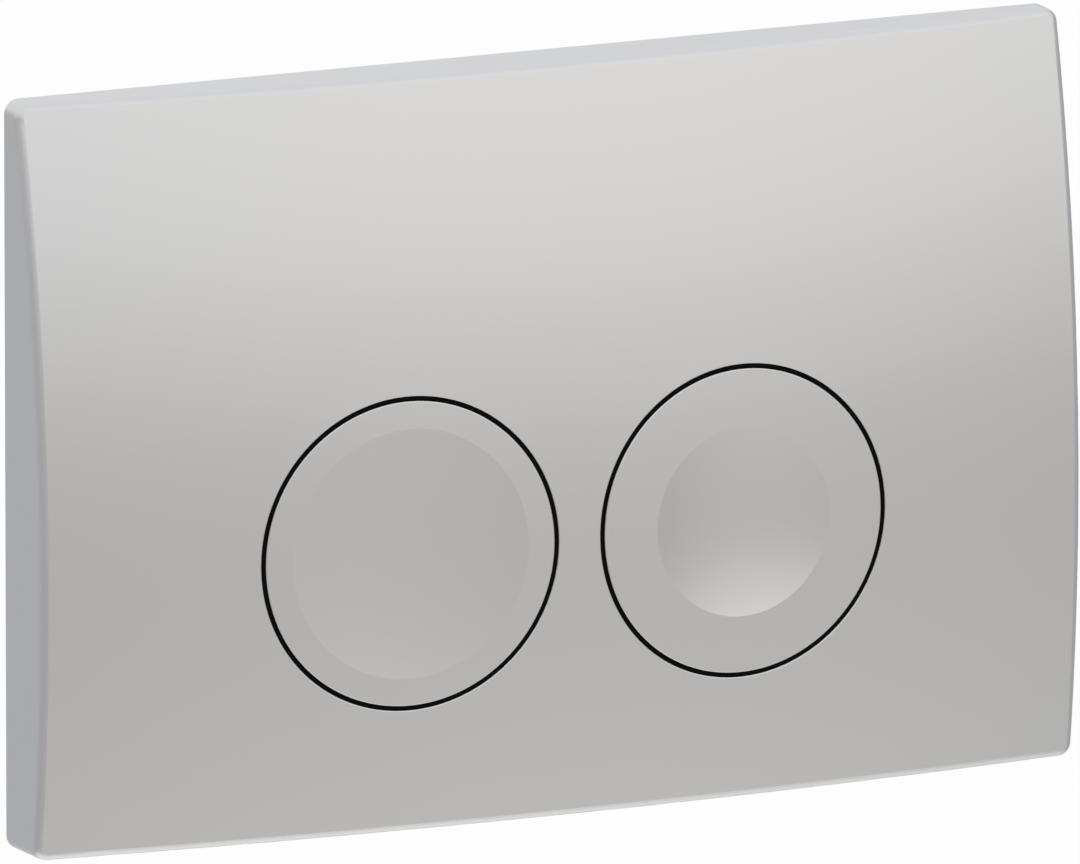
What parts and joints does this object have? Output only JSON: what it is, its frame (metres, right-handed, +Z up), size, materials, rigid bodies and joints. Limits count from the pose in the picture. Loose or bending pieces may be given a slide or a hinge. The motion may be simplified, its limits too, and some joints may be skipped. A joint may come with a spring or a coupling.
{
  "type": "flush button plate",
  "caption": "Bowed wall plate in satin chrome with round push buttons for full and partial flush, on a hook-in frame with fixing bolts and push rods.",
  "frame": {"origin": "on the wall plane, behind the middle of the cover's outline", "axes": "+Z up, +X to the right as the user faces the plate, +Y into the wall, so that the front faces -Y"},
  "size_m": [0.246, 0.0914, 0.164],
  "materials": {
    "satin_chrome": "satin chrome plating on moulded ABS",
    "black_moulding": "matt black acetal",
    "white_moulding": "natural white ABS, as moulded",
    "frame_moulding": "grey moulded frame, as moulded",
    "rod_moulding": "blue acetal",
    "bush_moulding": "white acetal",
    "soft_stop": "soft elastomer",
    "spring_steel": "drawn spring wire",
    "plated_steel": "bright zinc plated steel"
  },
  "bodies": {
    "cover_and_frame": {"front_plate": "satin_chrome", "bearing_plate": "white_moulding", "bearing_plate_screws": "plated_steel", "mounting_frame": "frame_moulding", "left_fixing_bolt": "plated_steel", "right_fixing_bolt": "plated_steel", "full_return_spring": "spring_steel", "full_guide_ring": "black_moulding", "full_stop_ring": "soft_stop", "full_rod_bush": "bush_moulding", "partial_return_spring": "spring_steel", "partial_guide_ring": "black_moulding", "partial_stop_ring": "soft_stop", "partial_rod_bush": "bush_moulding"},
    "full_button": {"full_flush_button": "satin_chrome", "full_button_plunger": "white_moulding"},
    "full_rod": {"full_rod_sleeve": "bush_moulding", "full_push_rod": "rod_moulding"},
    "partial_button": {"partial_flush_button": "satin_chrome", "partial_button_plunger": "white_moulding"},
    "partial_rod": {"partial_rod_sleeve": "bush_moulding", "partial_push_rod": "rod_moulding"}
  },
  "joints": [
    {"name": "full_button_press", "type": "slide", "parent": "cover_and_frame", "child": "full_button", "axis": [0, 1, 0], "range_m": [0, 0.0055], "stiffness_N_per_m": 300, "springref_m": -0.012, "deforming": ["full_return_spring"]},
    {"name": "partial_button_press", "type": "slide", "parent": "cover_and_frame", "child": "partial_button", "axis": [0, 1, 0], "range_m": [0, 0.0055], "stiffness_N_per_m": 300, "springref_m": -0.012, "deforming": ["partial_return_spring"]},
    {"name": "full_rod_slide", "type": "slide", "parent": "cover_and_frame", "child": "full_rod", "axis": [0, 1, 0], "range_m": [0, 0.0055]},
    {"name": "partial_rod_slide", "type": "slide", "parent": "cover_and_frame", "child": "partial_rod", "axis": [0, 1, 0], "range_m": [0, 0.0055]}
  ],
  "couplings": [
    {"joint": "full_rod_slide", "follows": "full_button_press", "ratio": 1},
    {"joint": "partial_rod_slide", "follows": "partial_button_press", "ratio": 1}
  ]
}
